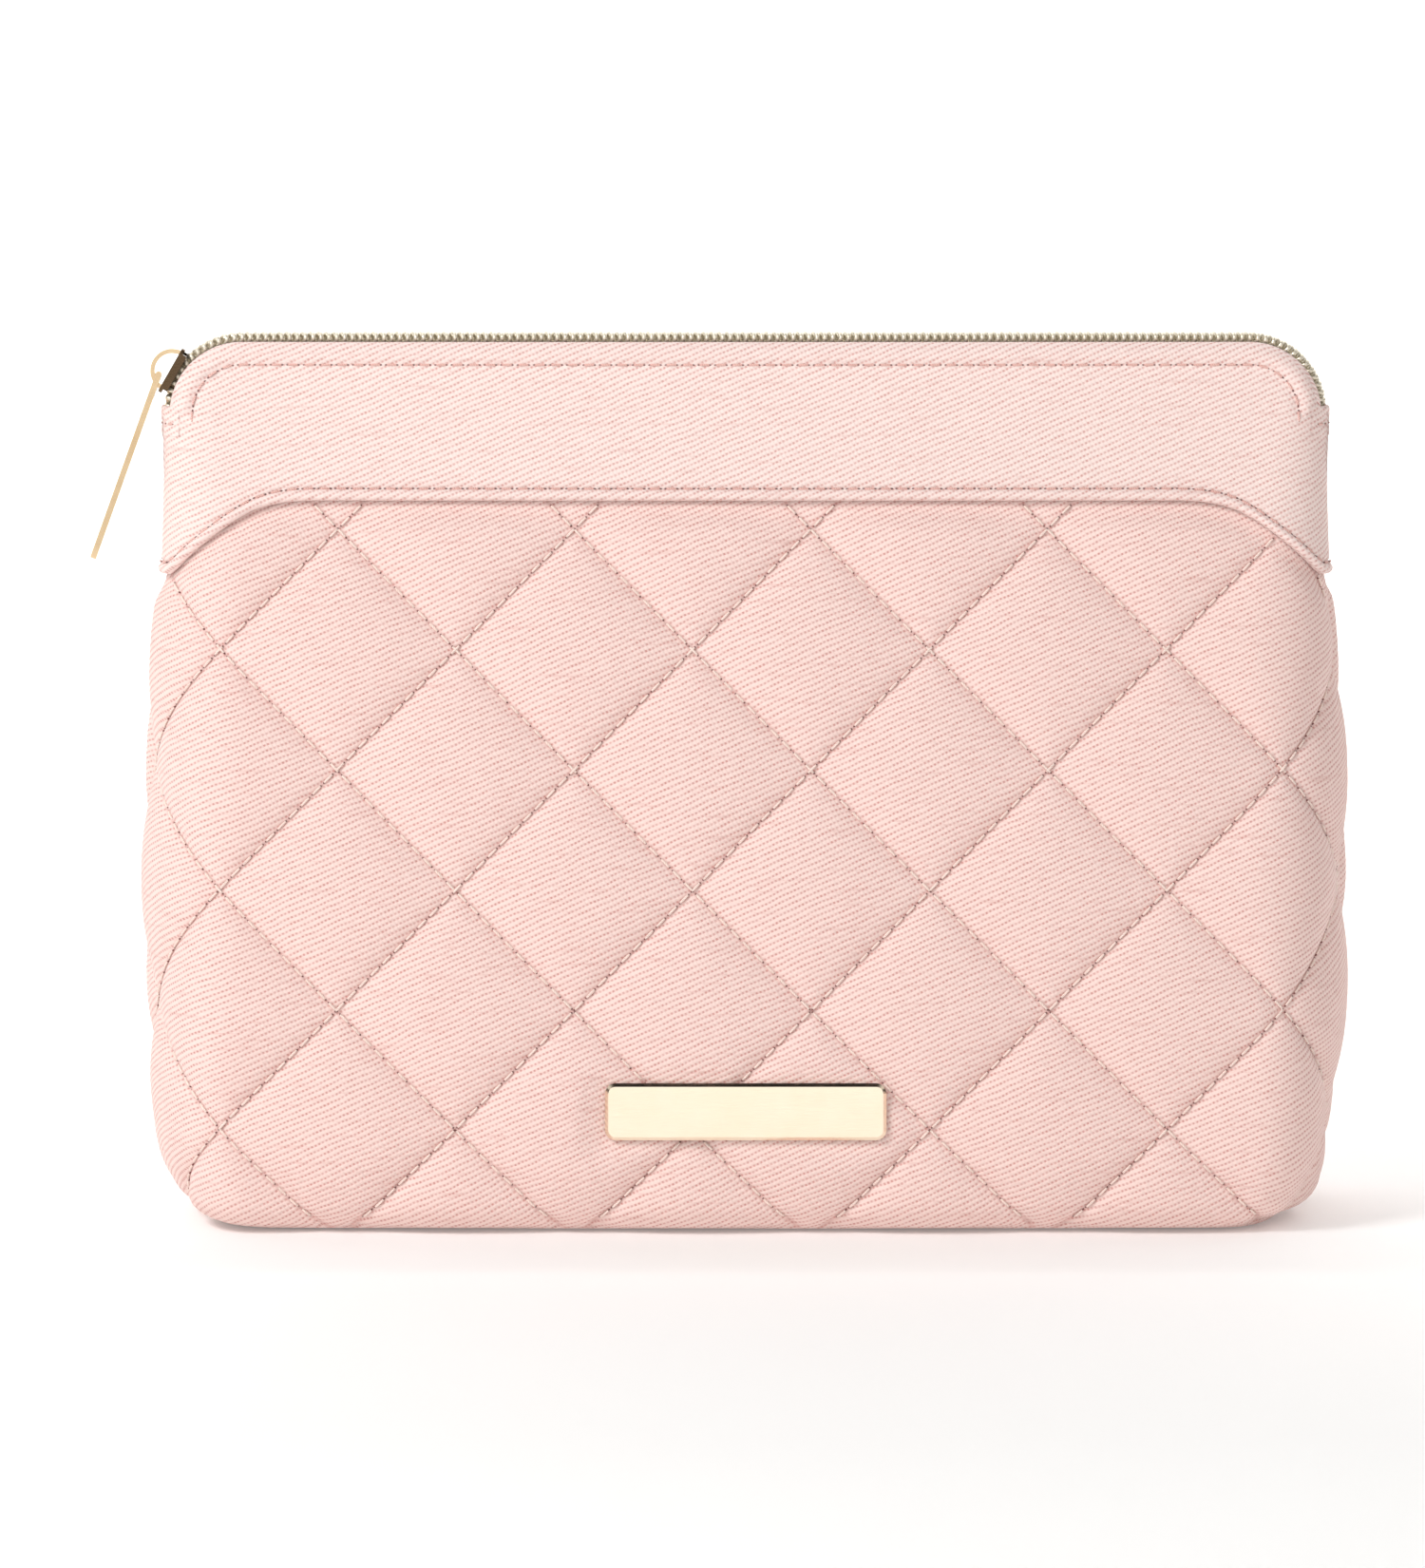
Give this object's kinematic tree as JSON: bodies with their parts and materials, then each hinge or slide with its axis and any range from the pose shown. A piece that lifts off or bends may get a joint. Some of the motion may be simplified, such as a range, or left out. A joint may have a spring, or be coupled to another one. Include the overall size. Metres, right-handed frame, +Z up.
{
  "type": "makeup bag",
  "caption": "Padded makeup bag with quilted twill walls, a plain yoke with a curved hem, a coil zip round the top corners, a metal bar pull and a blank metal name plate.",
  "frame": {"origin": "centre of the flat base", "axes": "+Z up, +X along the zip, to the right in a front view, -Y the front with the name plate"},
  "size_m": [0.267, 0.0773, 0.1883],
  "materials": {
    "twill": "pale pink cotton twill",
    "batting": "white polyester wadding",
    "lining": "plain woven polyester",
    "zip_tape": "woven zip tape",
    "zip_coil": "champagne gold metallised coil",
    "gold_metal": "polished pale gold plate",
    "steel": "plain"
  },
  "bodies": {
    "front": {"front_quilted_panel": "twill", "front_yoke": "twill", "front_batting": "batting", "front_lining": "lining", "zip_tape_front": "zip_tape", "zip_coil_front": "zip_coil", "name_plate": "gold_metal", "name_plate_prongs": "gold_metal", "name_plate_washers": "steel"},
    "back": {"back_quilted_panel": "twill", "back_yoke": "twill", "back_batting": "batting", "back_lining": "lining", "zip_tape_back": "zip_tape", "zip_coil_back": "zip_coil"},
    "root": {"base_panel": "twill", "zip_tab_left": "twill", "zip_tab_right": "twill", "base_batting": "batting", "base_lining": "lining", "side_binding_left": "lining", "side_binding_right": "lining", "zip_tape_front_left_end": "zip_tape", "zip_tape_front_right_end": "zip_tape", "zip_tape_back_left_end": "zip_tape", "zip_tape_back_right_end": "zip_tape", "zip_coil_front_left_end": "zip_coil", "zip_coil_front_right_end": "zip_coil", "zip_coil_back_left_end": "zip_coil", "zip_coil_back_right_end": "zip_coil", "zip_top_stops": "gold_metal", "zip_bottom_stops": "gold_metal"},
    "slider": {"slider_body": "gold_metal", "slider_crown": "gold_metal"},
    "pull": {"pull_bar": "gold_metal"}
  },
  "joints": [
    {"name": "slider_corner", "type": "hinge", "parent": "root", "child": "slider", "pos_m": [-0.1068, 0, 0.1716], "axis": [0, 1, 0], "range_deg": [-8, 40]},
    {"name": "pull_swing", "type": "hinge", "parent": "slider", "child": "pull", "pos_m": [-0.12461, 0, 0.17947], "axis": [0, 1, 0], "range_deg": [-5, 160]},
    {"name": "mouth_front", "type": "hinge", "parent": "root", "child": "front", "pos_m": [0, -0.037, 0.002], "axis": [1, 0, 0], "range_deg": [0, 11]},
    {"name": "mouth_back", "type": "hinge", "parent": "root", "child": "back", "pos_m": [0, 0.037, 0.002], "axis": [1, 0, 0], "range_deg": [-11, 0]}
  ],
  "couplings": [
    {"joint": "mouth_back", "follows": "mouth_front", "ratio": -1}
  ]
}
